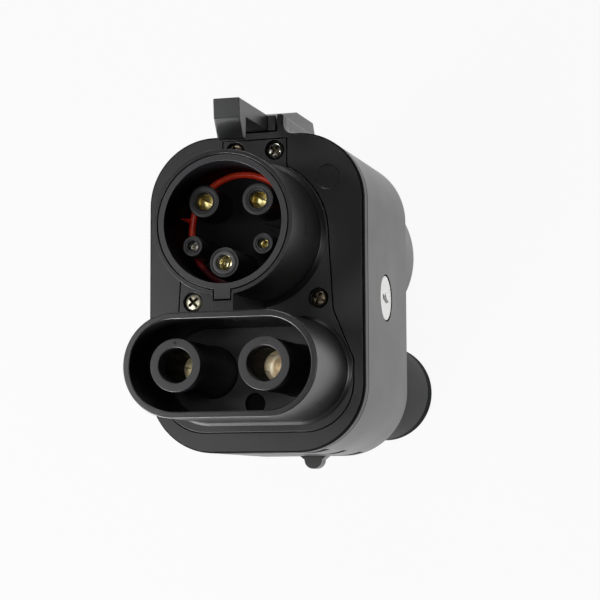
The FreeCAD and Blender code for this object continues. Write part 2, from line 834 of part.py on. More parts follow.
# Seal ring: a red silicone ring laid on the barrel's floor against its wall

def seal_ring():
    body = new_body("seal_ring")
    band = new_sketch(body, level=floor_top)
    add_circle(band, ZERO, axis_y, barrel_inside - s.seal_gap)
    add_circle(band, ZERO, axis_y, barrel_inside - s.seal_gap - s.seal_wire)
    pad(body, band, s.seal_wire)
    parts.append(body)


# Female contacts: turned tubes with a collar behind

def socket_contacts():
    for name, (x, y, _, height, radius, bore) in TUBES.items():
        body = new_body(name + "_socket")
        place(body, x, y, tube_back)
        tip = front + height - s.contact_setback - s.contact_gap - tube_back
        barrel = new_sketch(body)
        add_circle(barrel, ZERO, ZERO, radius)
        pad(body, barrel, tip)
        collar = new_sketch(body, level=-s.barrel_flange)
        add_circle(collar, ZERO, ZERO, radius + s.contact_collar_extra)
        pad(body, collar, s.barrel_flange)
        hole = new_sketch(body, level=tip)
        add_circle(hole, ZERO, ZERO, bore)
        cut(body, hole, s.contact_depth)
        parts.append(body)


# Signal board: a round circuit board behind the barrel, which the wires pass through to the collars

def signal_board():
    body = new_body("signal_board")
    disc = new_sketch(body, level=barrel_back - s.board_thick)
    add_circle(disc, ZERO, axis_y, s.board_radius)
    pad(body, disc, s.board_thick)
    holes = new_sketch(body, level=barrel_back)
    for name, width in WIRES.items():
        x, y = TUBES[name][:2]
        half = width / 2 + s.wire_gap
        add_outline(holes, [(x - half, y - half), (x + half, y - half), (x + half, y + half), (x - half, y + half)])
    cut(body, holes, s.board_thick)
    parts.append(body)


# Direct current carrier: the plate behind the cover, and the two long tubes that stand on it

def dc_carrier():
    body = new_body("dc_carrier")
    plate = new_sketch(body, level=carrier_back)
    half = s.carrier_width / 2
    add_rounded(plate, -half, half, dc_y - s.carrier_height / 2, dc_y + s.carrier_height / 2, s.carrier_thick)
    for side in (s.dc_pitch / 2, -s.dc_pitch / 2):
        add_circle(plate, side, dc_y, s.dc_tube_bore)
    pad(body, plate, s.carrier_thick)
    parts.append(body)
    for name, side in (("dc_plus", -s.dc_pitch / 2), ("dc_minus", s.dc_pitch / 2)):
        tube = new_body(name + "_tube")
        place(tube, side, dc_y, cover_back)
        wall = new_sketch(tube)
        add_circle(wall, ZERO, ZERO, s.dc_tube_radius)
        add_circle(wall, ZERO, ZERO, s.dc_tube_bore)
        pad(tube, wall, front + s.dc_tube_length - cover_back)
        parts.append(tube)


def dc_contacts():
    for name, side in (("dc_plus", -s.dc_pitch / 2), ("dc_minus", s.dc_pitch / 2)):
        socket = new_body(name + "_socket")
        place(socket, side, dc_y, carrier_back)
        tip = front + s.dc_tube_length - s.dc_socket_setback - carrier_back
        barrel = new_sketch(socket)
        add_circle(barrel, ZERO, ZERO, s.dc_socket_radius)
        pad(socket, barrel, tip)
        collar = new_sketch(socket, level=-s.pin_root_rise)
        add_circle(collar, ZERO, ZERO, s.dc_collar_radius)
        pad(socket, collar, s.pin_root_rise)
        hole = new_sketch(socket, level=tip)
        add_circle(hole, ZERO, ZERO, s.dc_contact_bore)
        cut(socket, hole, s.dc_contact_depth)
        parts.append(socket)

        pin = new_body(name + "_pin")
        place(pin, side, dc_inlet_y, insert_back)
        turned_pin(pin, s.dc_pin_radius, s.dc_hole_depth)
        parts.append(pin)

        bar = new_body(name + "_busbar")
        start = insert_back + s.pin_root_rise
        end = carrier_back - s.pin_root_rise
        block = new_sketch(bar, level=start)
        half = s.busbar_width / 2
        middle = (dc_y + dc_inlet_y) / 2
        add_outline(block, [(side - half, middle - s.busbar_thick / 2), (side + half, middle - s.busbar_thick / 2),
                            (side + half, middle + s.busbar_thick / 2), (side - half, middle + s.busbar_thick / 2)])
        pad(bar, block, end - start)
        parts.append(bar)


def turned_pin(body, radius, hole_depth):
    """A pin that points to the rear, with a thicker root that runs through the insert's floor."""
    floor = insert_back - s.insert_recess - hole_depth
    blade = new_sketch(body, level=-floor - hole_depth + s.pin_setback)
    add_circle(blade, ZERO, ZERO, radius)
    pad(body, blade, hole_depth - s.pin_setback)
    root = new_sketch(body, level=-floor)
    add_circle(root, ZERO, ZERO, radius + s.pin_root_extra)
    pad(body, root, floor + s.pin_root_rise)


# Rear pins of the round inlet, and the solid conductors that join them to the front contacts

REAR_PINS = {
    "l1": (-s.rear_power_side, inlet_y, s.rear_power_pin),
    "n": (s.rear_power_side, inlet_y, s.rear_power_pin),
    "pe": (ZERO, inlet_y, s.rear_power_pin),
    "pp": (-s.rear_signal_side, inlet_y + s.rear_signal_up, s.rear_signal_pin),
    "cp": (s.rear_signal_side, inlet_y + s.rear_signal_up, s.rear_signal_pin),
}


def rear_pins():
    for name, (x, y, radius) in REAR_PINS.items():
        pin = new_body(name + "_pin")
        place(pin, x, y, insert_back)
        turned_pin(pin, radius, s.rear_hole_depth)
        parts.append(pin)


def conductors():
    """Each square bar rises from a rear pin, slants over and rises again to its front contact."""
    low = insert_back + s.pin_root_rise
    high = tube_back - s.barrel_flange
    for name, width in WIRES.items():
        rear_x, rear_y, _ = REAR_PINS[name]
        front_x, front_y = TUBES[name][:2]
        early = name in ("pp", "cp")
        bend = low + s.wire_start if early else high - s.wire_start * 2 - s.wire_rise
        rise = high - s.wire_start * 2 - bend if early else s.wire_rise
        stops = [Vector(rear_x.number, rear_y.number, low.number),
                 Vector(rear_x.number, rear_y.number, bend.number),
                 Vector(front_x.number, front_y.number, (bend + rise).number),
                 Vector(front_x.number, front_y.number, high.number)]
        half = width.number / 2
        corners = [stops[0] + Vector(x, y, 0) for x, y in
                   ((-half, -half), (half, -half), (half, half), (-half, half), (-half, -half))]
        wire = doc.addObject("Part::Feature", name + "_wire")
        wire.Label = name + "_wire"
        wire.Shape = Part.makePolygon(stops).makePipeShell([Part.makePolygon(corners)], True, False, 1)
        parts.append(wire)


# Rear inlet: the flange in the housing's rear, which holds the inserts and both collars

def rear_inlet():
    body = new_body("rear_inlet")
    flange = new_sketch(body, level=housing_rear)
    half = s.rear_flange_half_width
    add_rounded(flange, -half, half, axis_y - s.rear_flange_below, axis_y + s.rear_flange_above, s.rear_flange_corner)
    add_insert_outline(flange, s.insert_gap)
    add_racetrack(flange, s.dc_insert_width + s.insert_gap * 2, s.dc_insert_height + s.insert_gap * 2, dc_inlet_y)
    for x, y in REAR_SCREWS:
        add_circle(flange, x, y, s.screw_shank_radius + s.shank_gap)
    pad(body, flange, s.rear_flange_thick)
    parts.append(body)


# Rear collars: the round and the racetrack wall that the adapter stands on. The racetrack one
# has a step round its open end for the rim seal.

def rear_collars():
    body = new_body("round_collar")
    wall = new_sketch(body)
    add_circle(wall, ZERO, inlet_y, s.round_collar_radius)
    add_circle(wall, ZERO, inlet_y, s.round_collar_radius - s.collar_wall)
    pad(body, wall, s.collar_length)
    parts.append(body)
    body = new_body("dc_collar")
    wall = new_sketch(body)
    add_racetrack(wall, s.dc_collar_width, s.dc_collar_height, dc_inlet_y)
    add_racetrack(wall, s.dc_collar_width - s.collar_wall * 2, s.dc_collar_height - s.collar_wall * 2, dc_inlet_y)
    pad(body, wall, s.collar_length)
    step = new_sketch(body)
    add_racetrack(step, s.dc_collar_width + s.rim_seal_thick, s.dc_collar_height + s.rim_seal_thick, dc_inlet_y)
    add_racetrack(step, s.dc_collar_width - s.rim_seal_thick * 2, s.dc_collar_height - s.rim_seal_thick * 2, dc_inlet_y)
    cut(body, step, s.rim_seal_length, upward=True)
    parts.append(body)


# Rim seal: the black rubber band round the open end of the racetrack collar

def dc_rim_seal():
    body = new_body("dc_rim_seal")
    band = new_sketch(body)
    add_racetrack(band, s.dc_collar_width, s.dc_collar_height, dc_inlet_y)
    add_racetrack(band, s.dc_collar_width - s.rim_seal_thick * 2, s.dc_collar_height - s.rim_seal_thick * 2, dc_inlet_y)
    pad(body, band, s.rim_seal_length)
    parts.append(body)


# Rear inserts: the insulating blocks round the pins, which stand in deep holes.
# The round one rests on a base plate that grips the roots of its five pins.

def rear_ac_insert():
    body = new_body("rear_ac_insert")
    block = new_sketch(body, level=s.insert_recess)
    add_insert_outline(block, ZERO)
    for name, (x, y, _) in REAR_PINS.items():
        add_circle(block, x, y, s.rear_signal_hole if name in ("pp", "cp") else s.rear_power_hole)
    pad(body, block, s.rear_hole_depth)
    parts.append(body)


def rear_ac_base():
    body = new_body("rear_ac_base")
    start = s.insert_recess + s.rear_hole_depth
    block = new_sketch(body, level=start)
    add_insert_outline(block, ZERO)
    pad(body, block, inside_rear - start)
    lip = new_sketch(body, level=inside_rear)
    add_insert_outline(lip, s.insert_lip)
    pad(body, lip, s.insert_lip_thick)
    shanks = new_sketch(body, level=start)
    for x, y, radius in REAR_PINS.values():
        add_circle(shanks, x, y, radius + s.pin_root_extra + s.contact_gap)
    cut(body, shanks, insert_back - start, upward=True)
    parts.append(body)


def rear_dc_insert():
    body = new_body("rear_dc_insert")
    block = new_sketch(body, level=s.insert_recess)
    add_racetrack(block, s.dc_insert_width, s.dc_insert_height, dc_inlet_y)
    pad(body, block, inside_rear - s.insert_recess)
    lip = new_sketch(body, level=inside_rear)
    add_racetrack(lip, s.dc_insert_width + s.insert_lip * 2, s.dc_insert_height + s.insert_lip * 2, dc_inlet_y)
    pad(body, lip, s.insert_lip_thick)
    holes = new_sketch(body, level=s.insert_recess)
    shanks = new_sketch(body, level=s.insert_recess)
    for side in (s.dc_pitch / 2, -s.dc_pitch / 2):
        add_circle(holes, side, dc_inlet_y, s.dc_hole_radius)
        add_circle(shanks, side, dc_inlet_y, s.dc_pin_radius + s.pin_root_extra + s.contact_gap)
    cut(body, holes, s.dc_hole_depth, upward=True)
    cut(body, shanks, insert_back - s.insert_recess, upward=True)
    parts.append(body)


# Screws: pan heads on eight-sided cores that stand in for the threads, grouped by their face

def screw_group(name, spots, seat, length, direction):
    """Screws whose heads rest at the level seat. direction is 1 for heads that face +Z."""
    solids = []
    for number, (x, y) in enumerate(spots, start=1):
        head = doc.addObject("Part::Cylinder", f"{name}_head_{number}")
        bind(head, "Radius", s.screw_head_radius)
        bind(head, "Height", s.screw_head_thick)
        place(head, x, y, seat if direction > 0 else seat - s.screw_head_thick)
        shank = doc.addObject("Part::Prism", f"{name}_shank_{number}")
        shank.Polygon = 8
        bind(shank, "Circumradius", s.screw_shank_radius)
        bind(shank, "Height", length)
        place(shank, x, y, seat - length if direction > 0 else seat)
        screw = doc.addObject("Part::Fuse", f"{name}_screw_{number}")
        screw.Base = head
        screw.Tool = shank
        solids.append(screw)
    group = doc.addObject("Part::Compound", name)
    group.Label = name
    group.Links = solids
    parts.append(group)


# Latch: a rocking lever with a hooked arm in front and a thumb pad behind, on a cross pin

def latch_lever():
    body = new_body("latch_lever")
    step = front - s.lever_step
    tip = front + s.hook_reach
    top = axis_y + s.hump_top
    arm = new_sketch(body, "YZ_Plane")
    inner = step - s.lever_step * 4
    add_outline(arm, [
        (top, inner), (top, tip), (top - s.crease_drop, tip - s.crease_back),
        (axis_y + s.hook_bottom, tip - s.crease_back - s.hook_slope),
        (axis_y + s.hook_bottom, tip - s.hook_thick), (axis_y + s.arm_bottom, tip - s.hook_thick),
        (axis_y + s.arm_bottom, inner),
    ])
    pad(body, arm, s.latch_width, both_sides=True)
    rocker = new_sketch(body, "YZ_Plane")
    add_outline(rocker, [
        (top, step), (axis_y + s.arm_bottom, step), (axis_y + s.arm_bottom, front - s.pivot_back * 1.5),
        (axis_y + s.pad_bottom, front - s.pivot_back * 2), (axis_y + s.pad_bottom, front - s.pad_heel),
        (axis_y + s.pad_heel_top, front - s.pad_heel), (axis_y + s.pad_top, front - s.pad_end),
        (axis_y + s.pad_top, front - s.pad_start),
    ])
    pad(body, rocker, s.lever_width, both_sides=True)
    hole = new_sketch(body, "YZ_Plane")
    add_circle(hole, axis_y + s.pivot_up, front - s.pivot_back, s.pin_radius + s.pin_gap)
    cut(body, hole, s.body_width, both_sides=True)
    seat = new_sketch(body, "XZ_Plane", -(axis_y + s.pad_bottom))
    add_circle(seat, ZERO, front - s.spring_back, s.spring_radius + s.spring_wire / 2 + s.spring_gap)
    cut(body, seat, s.spring_seat - s.pad_bottom)
    parts.append(body)


def latch_pin():
    pin = doc.addObject("Part::Cylinder", "latch_pin")
    pin.Label = "latch_pin"
    bind(pin, "Radius", s.pin_radius)
    length = (hump_half - s.pin_short) * 2
    bind(pin, "Height", length)
    place(pin, -length / 2, axis_y + s.pivot_up, front - s.pivot_back)
    pin.Placement.Rotation = FreeCAD.Rotation(Vector(0, 1, 0), 90)
    parts.append(pin)


def latch_spring():
    """A compression spring of square wire that stands on the trough's floor and pushes the pad up."""
    height = (s.spring_seat - s.trough_floor - s.spring_wire).number
    coil = Part.makeHelix(height / s.spring_turns.number, height, s.spring_radius.number)
    middle, half = s.spring_radius.number, s.spring_wire.number / 2
    wire = Part.makePolygon([Vector(middle + x, 0, z) for x, z in
                             ((-half, -half), (half, -half), (half, half), (-half, half), (-half, -half))])
    spring = doc.addObject("Part::Feature", "latch_spring")
    spring.Label = "latch_spring"
    spring.Shape = Part.Wire(coil).makePipeShell([wire], True, True)
    floor = axis_y + s.trough_floor + s.spring_wire / 2
    spring.Placement = FreeCAD.Placement(Vector(0, floor.number, (front - s.spring_back).number),
                                         FreeCAD.Rotation(Vector(1, 0, 0), -90))
    parts.append(spring)


# Side badge: a plain bright disc set into the right side

def side_badge():
    disc = doc.addObject("Part::Cylinder", "side_badge")
    disc.Label = "side_badge"
    bind(disc, "Radius", s.badge_radius)
    bind(disc, "Height", s.badge_thick)
    place(disc, s.body_width / 2 - s.badge_recess, badge_y, badge_z)
    disc.Placement.Rotation = FreeCAD.Rotation(Vector(0, 1, 0), 90)
    parts.append(disc)


main_housing()
front_cover()
cover_gasket()
nose_moulding()
round_sleeve()
dc_shroud()
nose_barrel()
socket_insulator()
contact_tubes()
seal_ring()
socket_contacts()
signal_board()
dc_carrier()
dc_contacts()
rear_pins()
conductors()
rear_inlet()
rear_collars()
dc_rim_seal()
rear_ac_insert()
rear_ac_base()
rear_dc_insert()
screw_group("nose_screws", FRONT_SCREWS, front - s.counterbore_depth, s.screw_length, 1)
screw_group("rear_screws", REAR_SCREWS, housing_rear, s.rear_screw_length, -1)
latch_lever()
latch_pin()
latch_spring()
side_badge()
doc.recompute()

failed = [item.Label for item in doc.Objects if {"Invalid", "Error"} & set(item.State)]
bad = [item.Label for item in parts if item.Shape.isNull() or not item.Shape.isValid()]
if failed or bad:
    raise RuntimeError(f"failed objects: {failed}, bad shapes: {bad}")
for item in parts:
    item.Shape.exportStep(f"parts/{item.Label}.step")
    print(item.Label, len(item.Shape.Solids), round(item.Shape.Volume, 1))
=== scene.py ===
import json
from math import atan2, cos, degrees, exp, pi, radians, sin

import bmesh
import bpy
from mathutils import Matrix, Vector


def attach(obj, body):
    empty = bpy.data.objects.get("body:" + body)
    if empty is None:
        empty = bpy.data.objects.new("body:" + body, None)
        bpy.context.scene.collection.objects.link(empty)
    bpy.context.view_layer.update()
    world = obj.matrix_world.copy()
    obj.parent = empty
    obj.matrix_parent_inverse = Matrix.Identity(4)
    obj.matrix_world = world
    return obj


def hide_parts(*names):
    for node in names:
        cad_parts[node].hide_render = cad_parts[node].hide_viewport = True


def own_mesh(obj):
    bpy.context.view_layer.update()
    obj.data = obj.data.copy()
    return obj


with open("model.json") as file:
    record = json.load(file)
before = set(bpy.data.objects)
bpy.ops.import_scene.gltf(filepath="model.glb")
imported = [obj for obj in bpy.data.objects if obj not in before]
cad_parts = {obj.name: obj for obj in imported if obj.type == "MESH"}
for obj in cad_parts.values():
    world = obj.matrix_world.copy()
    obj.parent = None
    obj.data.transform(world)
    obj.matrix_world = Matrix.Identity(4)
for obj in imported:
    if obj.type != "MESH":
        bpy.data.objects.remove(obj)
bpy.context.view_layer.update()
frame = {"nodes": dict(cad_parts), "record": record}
nodes = frame["nodes"]

# Camera. The photograph looks almost straight down the plug, from a little right of it and below.
# Its lens and place come from the outlines of the nose, the shroud and the body.
photo_width = 600
focal_pixels = 1902.5
camera = bpy.data.objects.new("camera", bpy.data.cameras.new("camera"))
camera.data.sensor_width = 36
camera.data.lens = camera.data.sensor_width * focal_pixels / photo_width
camera.data.clip_start = 0.02
camera.rotation_mode = "ZXY"
camera.rotation_euler = (0.1027, 0.2859, -0.0044)
camera.location = (0.17693, -0.06584, 0.65191)
bpy.context.scene.collection.objects.link(camera)
bpy.context.scene.camera = camera
bpy.context.scene.view_settings.view_transform = "Standard"


# Floor: a white card that the adapter stands on, lit by the same lamps.
# The camera and reflections see most of it as the even white of the photograph's background.
def add(tree, kind, inputs=None, **settings):
    """Adds a node, sets its properties, and fills its inputs with values or links."""
    node = tree.nodes.new(kind)
    for name, value in settings.items():
        setattr(node, name, value)
    for name, value in (inputs or {}).items():
        socket = node.inputs[name]
        if isinstance(value, bpy.types.NodeSocket):
            tree.links.new(value, socket)
        else:
            socket.default_value = value
    return node


def linear(hex_colour):
    """An sRGB hex colour as linear light."""
    channels = [int(hex_colour[i:i + 2], 16) / 255 for i in (1, 3, 5)]
    return [c / 12.92 if c <= 0.04045 else ((c + 0.055) / 1.055) ** 2.4 for c in channels] + [1.0]


def new_material(name):
    material = bpy.data.materials.new(name)
    material.use_nodes = True
    material.node_tree.nodes.clear()
    return material, material.node_tree


def link_mesh(bm, name):
    """Turns a mesh drawn in millimetres into an object at the origin."""
    bmesh.ops.scale(bm, vec=(0.001, 0.001, 0.001), verts=bm.verts)
    mesh = bpy.data.meshes.new(name)
    bm.to_mesh(mesh)
    bm.free()
    thing = bpy.data.objects.new(name, mesh)
    bpy.context.scene.collection.objects.link(thing)
    return thing


card_half = 3000
card_glow, glow_share = 0.955, 0.98
card_white, card_tree = new_material("white_card")
ray = add(card_tree, "ShaderNodeLightPath").outputs
seen = add(card_tree, "ShaderNodeMath", {0: ray["Is Camera Ray"], 1: ray["Is Glossy Ray"]},
           operation="MAXIMUM")
seen = add(card_tree, "ShaderNodeMath", {0: seen.outputs[0], 1: ray["Is Transmission Ray"]},
           operation="MAXIMUM")
share = add(card_tree, "ShaderNodeMath", {0: seen.outputs[0], 1: glow_share}, operation="MULTIPLY")
paper = add(card_tree, "ShaderNodeBsdfDiffuse", {"Color": linear("#f0f0f0")})
glow = add(card_tree, "ShaderNodeEmission", {"Color": linear("#ffffff"), "Strength": card_glow})
both = add(card_tree, "ShaderNodeMixShader",
           {0: share.outputs[0], 1: paper.outputs[0], 2: glow.outputs[0]})
add(card_tree, "ShaderNodeOutputMaterial", {"Surface": both.outputs[0]})
card = bmesh.new()
bmesh.ops.create_grid(card, x_segments=1, y_segments=1, size=card_half)
floor = link_mesh(card, "floor")
floor.data.materials.append(card_white)


# Lamps: low soft panels on the lower left and above graze the plug's end, which gives it its paler
# left half and long shadows. Weaker ones, high on the left and beside the camera, reach into the bores.
def soft_panel(name, place, size, power):
    """A round lamp of so many metres and watts that faces the middle of the adapter."""
    adapter_middle = Vector((0, 0, 0.08))
    lamp = bpy.data.lights.new(name, "AREA")
    lamp.shape = "DISK"
    lamp.size = size
    lamp.energy = power
    panel = bpy.data.objects.new(name, lamp)
    panel.location = place
    panel.rotation_euler = (adapter_middle - Vector(place)).to_track_quat("-Z", "Y").to_euler()
    bpy.context.scene.collection.objects.link(panel)


soft_panel("panel_left", (-0.5, -0.5, 0.32), 0.35, 7)
soft_panel("panel_below", (-0.3, -0.63, 0.32), 0.35, 6)
soft_panel("panel_top", (0.0, 0.75, 0.4), 0.4, 3.6)
soft_panel("panel_high", (-0.55, -0.05, 0.9), 0.4, 2.5)
soft_panel("panel_camera", (0.17, 0.0, 0.95), 0.15, 1.3)
soft_panel("panel_right", (0.75, -0.1, 0.05), 0.3, 1.5)
sky_strength = 0.02
sky = bpy.data.worlds.new("sky")
sky.use_nodes = True
sky.node_tree.nodes["Background"].inputs["Color"].default_value = linear("#ffffff")
sky.node_tree.nodes["Background"].inputs["Strength"].default_value = sky_strength
bpy.context.scene.world = sky


# Main housing: the deep rounded tube of the body, with the latch's trough on top, grip grooves and a lug.
# Injection moulded black PC/ABS, from a tool whose spark-eroded steel leaves a fine even grain.
def blended(tree, amount, low, high):
    """A colour between two hex colours."""
    mix = add(tree, "ShaderNodeMix", {0: amount, 6: linear(low), 7: linear(high)}, data_type="RGBA")
    return mix.outputs[2]


def ranged(tree, value, low, high, to_low, to_high):
    """A value moved from one range into another, and held inside it."""
    return add(tree, "ShaderNodeMapRange", {"Value": value, "From Min": low, "From Max": high,
                                            "To Min": to_low, "To Max": to_high}).outputs[0]


def noise(tree, place, size_mm, detail=2.0):
    """Noise whose lumps have about the given size."""
    lumps = add(tree, "ShaderNodeTexNoise", {"Vector": place, "Scale": 1000 / size_mm, "Detail": detail})
    return lumps.outputs["Fac"]


def moulded_plastic(name, dark, pale, shine, grain_mm, grain_depth, lint="#4a4a49", gloss=0.5):
    """Moulded plastic. The grain breaks up highlights, handling leaves broad paler patches,
    and sparse lint shows as fine grey flecks."""
    handled_mm, lint_mm = 24.0, 0.9
    material, tree = new_material(name)
    place = add(tree, "ShaderNodeTexCoord").outputs["Object"]
    handled = ranged(tree, noise(tree, place, handled_mm, 3.0), 0.3, 0.7, 0.0, 1.0)
    colour = blended(tree, handled, dark, pale)
    fleck = ranged(tree, noise(tree, place, lint_mm, 1.0), 0.76, 0.84, 0.0, 0.5)
    colour = add(tree, "ShaderNodeMix", {0: fleck, 6: colour, 7: linear(lint)}, data_type="RGBA").outputs[2]
    bump = add(tree, "ShaderNodeBump", {"Height": noise(tree, place, grain_mm), "Strength": 0.35,
                                        "Distance": grain_depth * 0.001})
    surface = add(tree, "ShaderNodeBsdfPrincipled", {
        "Base Color": colour, "Roughness": ranged(tree, handled, 0.0, 1.0, shine + 0.03, shine - 0.03),
        "Normal": bump.outputs[0], "IOR": 1.5, "Specular IOR Level": gloss})
    add(tree, "ShaderNodeOutputMaterial", {"Surface": surface.outputs[0]})
    return material


def copied(*names):
    """A mesh of CAD nodes in millimetres, with its doubled corners merged and its flat faces made whole."""
    bm = bmesh.new()
    for name in names:
        bm.from_mesh(nodes[name].data)
    bmesh.ops.scale(bm, vec=(1000, 1000, 1000), verts=bm.verts)
    bmesh.ops.remove_doubles(bm, verts=bm.verts, dist=0.001)
    bmesh.ops.dissolve_limit(bm, angle_limit=radians(0.2), verts=bm.verts, edges=bm.edges,
                             use_dissolve_boundaries=False)
    return bm


def fitted(bm, name, body, slot, material, *stands_for, edge_round=0.0, steps=2, rounded_from=30, crease=40,
           where=None):
    """Makes the piece, rides it on its body and rounds its edges by so many millimetres. The other
    edges that turn by more than the crease angle are shaded sharp."""
    weight = bm.edges.layers.float.get("bevel_weight_edge") or bm.edges.layers.float.new("bevel_weight_edge")
    for face in bm.faces:
        face.smooth = True
    for seam in bm.edges:
        turn = seam.calc_face_angle(0) if len(seam.link_faces) == 2 else pi
        rounded = edge_round > 0 and turn > radians(rounded_from) and (where is None or where(seam))
        seam[weight] = 1.0 if rounded else 0.0
        seam.smooth = rounded or turn < radians(crease)
    piece = link_mesh(bm, name)
    piece.data.materials.append(material)
    if edge_round:
        rounding = piece.modifiers.new("rounded_edges", "BEVEL")
        rounding.width = edge_round * 0.001
        rounding.segments = steps
        rounding.limit_method = "WEIGHT"
        rounding.use_clamp_overlap = False
    even = piece.modifiers.new("even_shading", "WEIGHTED_NORMAL")
    even.keep_sharp = True
    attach(piece, body)
    if stands_for:
        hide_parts(*stands_for)
    return piece


grained_abs = moulded_plastic("grained_pc_abs", "#1d1e1d", "#242523", 0.32, 0.28, 0.05, gloss=0.6)


def straight_on_hump(seam):
    """The long straight edges of the latch's hump."""
    hump_foot = 46
    middle = (seam.verts[0].co + seam.verts[1].co) / 2
    turn = seam.calc_face_angle(0)
    return seam.calc_length() > 3 and turn > radians(50) and middle.y > hump_foot


# The lug is moved to the right on this copy, to where it really stands.
body_bottom = -52.7
lug_half, lug_rear, lug_front, lug_shift = 4.5, 42, 47, 3.4
housing = copied("main_housing")
for vert in housing.verts:
    along = lug_rear - 0.1 < vert.co.z < lug_front + 0.1
    if along and abs(vert.co.x) < lug_half + 0.1 and vert.co.y < body_bottom + 0.01:
        vert.co.x += lug_shift
fitted(housing, "housing", "adapter", "housing_plastic", grained_abs, "main_housing", edge_round=0.3,
       where=straight_on_hump, crease=20)

# Badge: a thin satin-white disc, stuck into its recess on the right side. It carries a small printed
# flash, and its clear lacquer gives it a bright even sheen.
badge_face = 34.4
badge_y, badge_z = -3.7, 70.5
badge_print, badge_tree = new_material("printed_badge")
badge_place = add(badge_tree, "ShaderNodeTexCoord").outputs["Object"]
badge_colour = blended(badge_tree, noise(badge_tree, badge_place, 3.0), "#f2f2ee", "#fafaf8")
badge_surface = add(badge_tree, "ShaderNodeBsdfPrincipled", {
    "Base Color": badge_colour, "Roughness": 0.22, "IOR": 1.5, "Specular IOR Level": 0.8,
    "Coat Weight": 1.0, "Coat Roughness": 0.35})
add(badge_tree, "ShaderNodeOutputMaterial", {"Surface": badge_surface.outputs[0]})
fitted(copied("side_badge"), "badge", "adapter", "badge", badge_print, "side_badge", edge_round=0.12)
badge_ink = moulded_plastic("badge_ink", "#6e6e6c", "#7a7a78", 0.4, 0.2, 0.01)
flash = [(-0.4, 3.4), (-1.7, -0.6), (-0.2, -0.6), (-0.9, -3.4), (1.7, 0.7), (0.2, 0.7), (1.1, 3.4)]
ink_thick = 0.03
print_mesh = bmesh.new()
corners = [print_mesh.verts.new((badge_face, badge_y + u, badge_z + v)) for u, v in flash]
bmesh.ops.contextual_create(print_mesh, geom=corners)
raised = bmesh.ops.extrude_face_region(print_mesh, geom=print_mesh.faces[:], use_keep_orig=True)["geom"]
bmesh.ops.translate(print_mesh, vec=(ink_thick, 0, 0),
                    verts=[part for part in raised if isinstance(part, bmesh.types.BMVert)])
bmesh.ops.recalc_face_normals(print_mesh, faces=print_mesh.faces[:])
fitted(print_mesh, "badge_flash", "adapter", "badge", badge_ink)

# Front cover: the plate that the nose is sunk into. Same grained PC/ABS as the housing.
# The black line round its edge is painted shade for the gap there: near the front, its outer side faces are a
# near-black matte material.
gap_shade_level = 97.0
side_from, top_from, bottom_from = 25, 40, -45
gap_shade_black = moulded_plastic("gap_shade_black", "#050606", "#080909", 0.9, 0.3, 0.02, lint="#161616", gloss=0.1)
cover_abs = moulded_plastic("cover_pc_abs", "#141415", "#1b1b1c", 0.4, 0.25, 0.04)
cover = copied("front_cover")
bmesh.ops.bisect_plane(cover, geom=cover.verts[:] + cover.edges[:] + cover.faces[:], dist=0.0001,
                       plane_co=(0, 0, gap_shade_level), plane_no=(0, 0, 1))
# Painted shade: outer side faces at the rim, above the gap level, take the near-black second material.
for face in cover.faces:
    spot = face.calc_center_median()
    outer = abs(face.normal.z) < 0.9 and face.normal.x * spot.x + face.normal.y * spot.y > 0
    at_rim = abs(spot.x) > side_from or spot.y > top_from or spot.y < bottom_from
    if outer and spot.z > gap_shade_level and at_rim:
        face.material_index = 1
plate = fitted(cover, "cover", "adapter", "cover_plastic", cover_abs, "front_cover", edge_round=0.12)
plate.data.materials.append(gap_shade_black)

# Nose moulding: keyhole flange, round sleeve and racetrack shroud, smooth black PBT.
# The walls spread where they leave the flange, and their rims have a small round on both sides.
pocket_y, pocket_radius, pocket_level = -37.8, 3.2, 98.9
pocket_shade = moulded_plastic("pocket_shade", "#040405", "#060607", 0.7, 0.3, 0.02, lint="#101012",
                               gloss=0.15)
smooth_pbt = moulded_plastic("smooth_pbt", "#151415", "#1b1a1b", 0.3, 0.22, 0.03, gloss=0.6)
flange = copied("nose_moulding")
for face in flange.faces:
    spot = face.calc_center_median()
    if spot.z < pocket_level and (spot - Vector((0, pocket_y, spot.z))).length < pocket_radius + 0.1:
        face.material_index = 1
flange = fitted(flange, "flange", "adapter", "nose_plastic", cover_abs, "nose_moulding", edge_round=0.15)
flange.data.materials.append(pocket_shade)
fitted(copied("round_sleeve"), "sleeve", "adapter", "nose_plastic", smooth_pbt, "round_sleeve",
       edge_round=0.15)
fitted(copied("dc_shroud"), "shroud", "adapter", "nose_plastic", smooth_pbt, "dc_shroud", edge_round=0.4,
       steps=3)


# Slide mark: the narrow dark slot that the tool's slide leaves across the sleeve's right side.
# It is a strip of its own here, let into the sleeve, and its near-black colour is painted shade for the slot.
def turned(corners, centre=(0, 0), sweep=360, start=0, steps=64):
    """Spins a wall's cross-section, given as corners (radius, height, round), round an upright axis.
    Less than a full turn makes a closed piece with two flat ends."""
    bm = bmesh.new()
    x, y = centre
    axis_x, axis_y = cos(radians(start)), sin(radians(start))
    points = [bm.verts.new((x + corner[0] * axis_x, y + corner[0] * axis_y, corner[1])) for corner in corners]
    open_end = corners[0][0] == 0 and corners[-1][0] == 0
    for one, other in zip(points, points[1:] if open_end else points[1:] + points[:1]):
        bm.edges.new((one, other))
    for point, corner in zip(points, corners):
        if len(corner) > 2 and corner[2]:
            bmesh.ops.bevel(bm, geom=[point], offset=corner[2], offset_type="OFFSET", segments=3, profile=0.5,
                            affect="VERTICES", material=-1)
    whole = sweep == 360
    if not whole:
        bmesh.ops.contextual_create(bm, geom=bm.edges[:])
    bmesh.ops.spin(bm, geom=bm.verts[:] + bm.edges[:] + bm.faces[:], cent=(x, y, 0), axis=(0, 0, 1),
                   angle=radians(sweep), steps=steps, use_merge=whole, use_duplicate=False)
    bmesh.ops.remove_doubles(bm, verts=bm.verts, dist=0.0005)
    bmesh.ops.recalc_face_normals(bm, faces=bm.faces)
    return bm


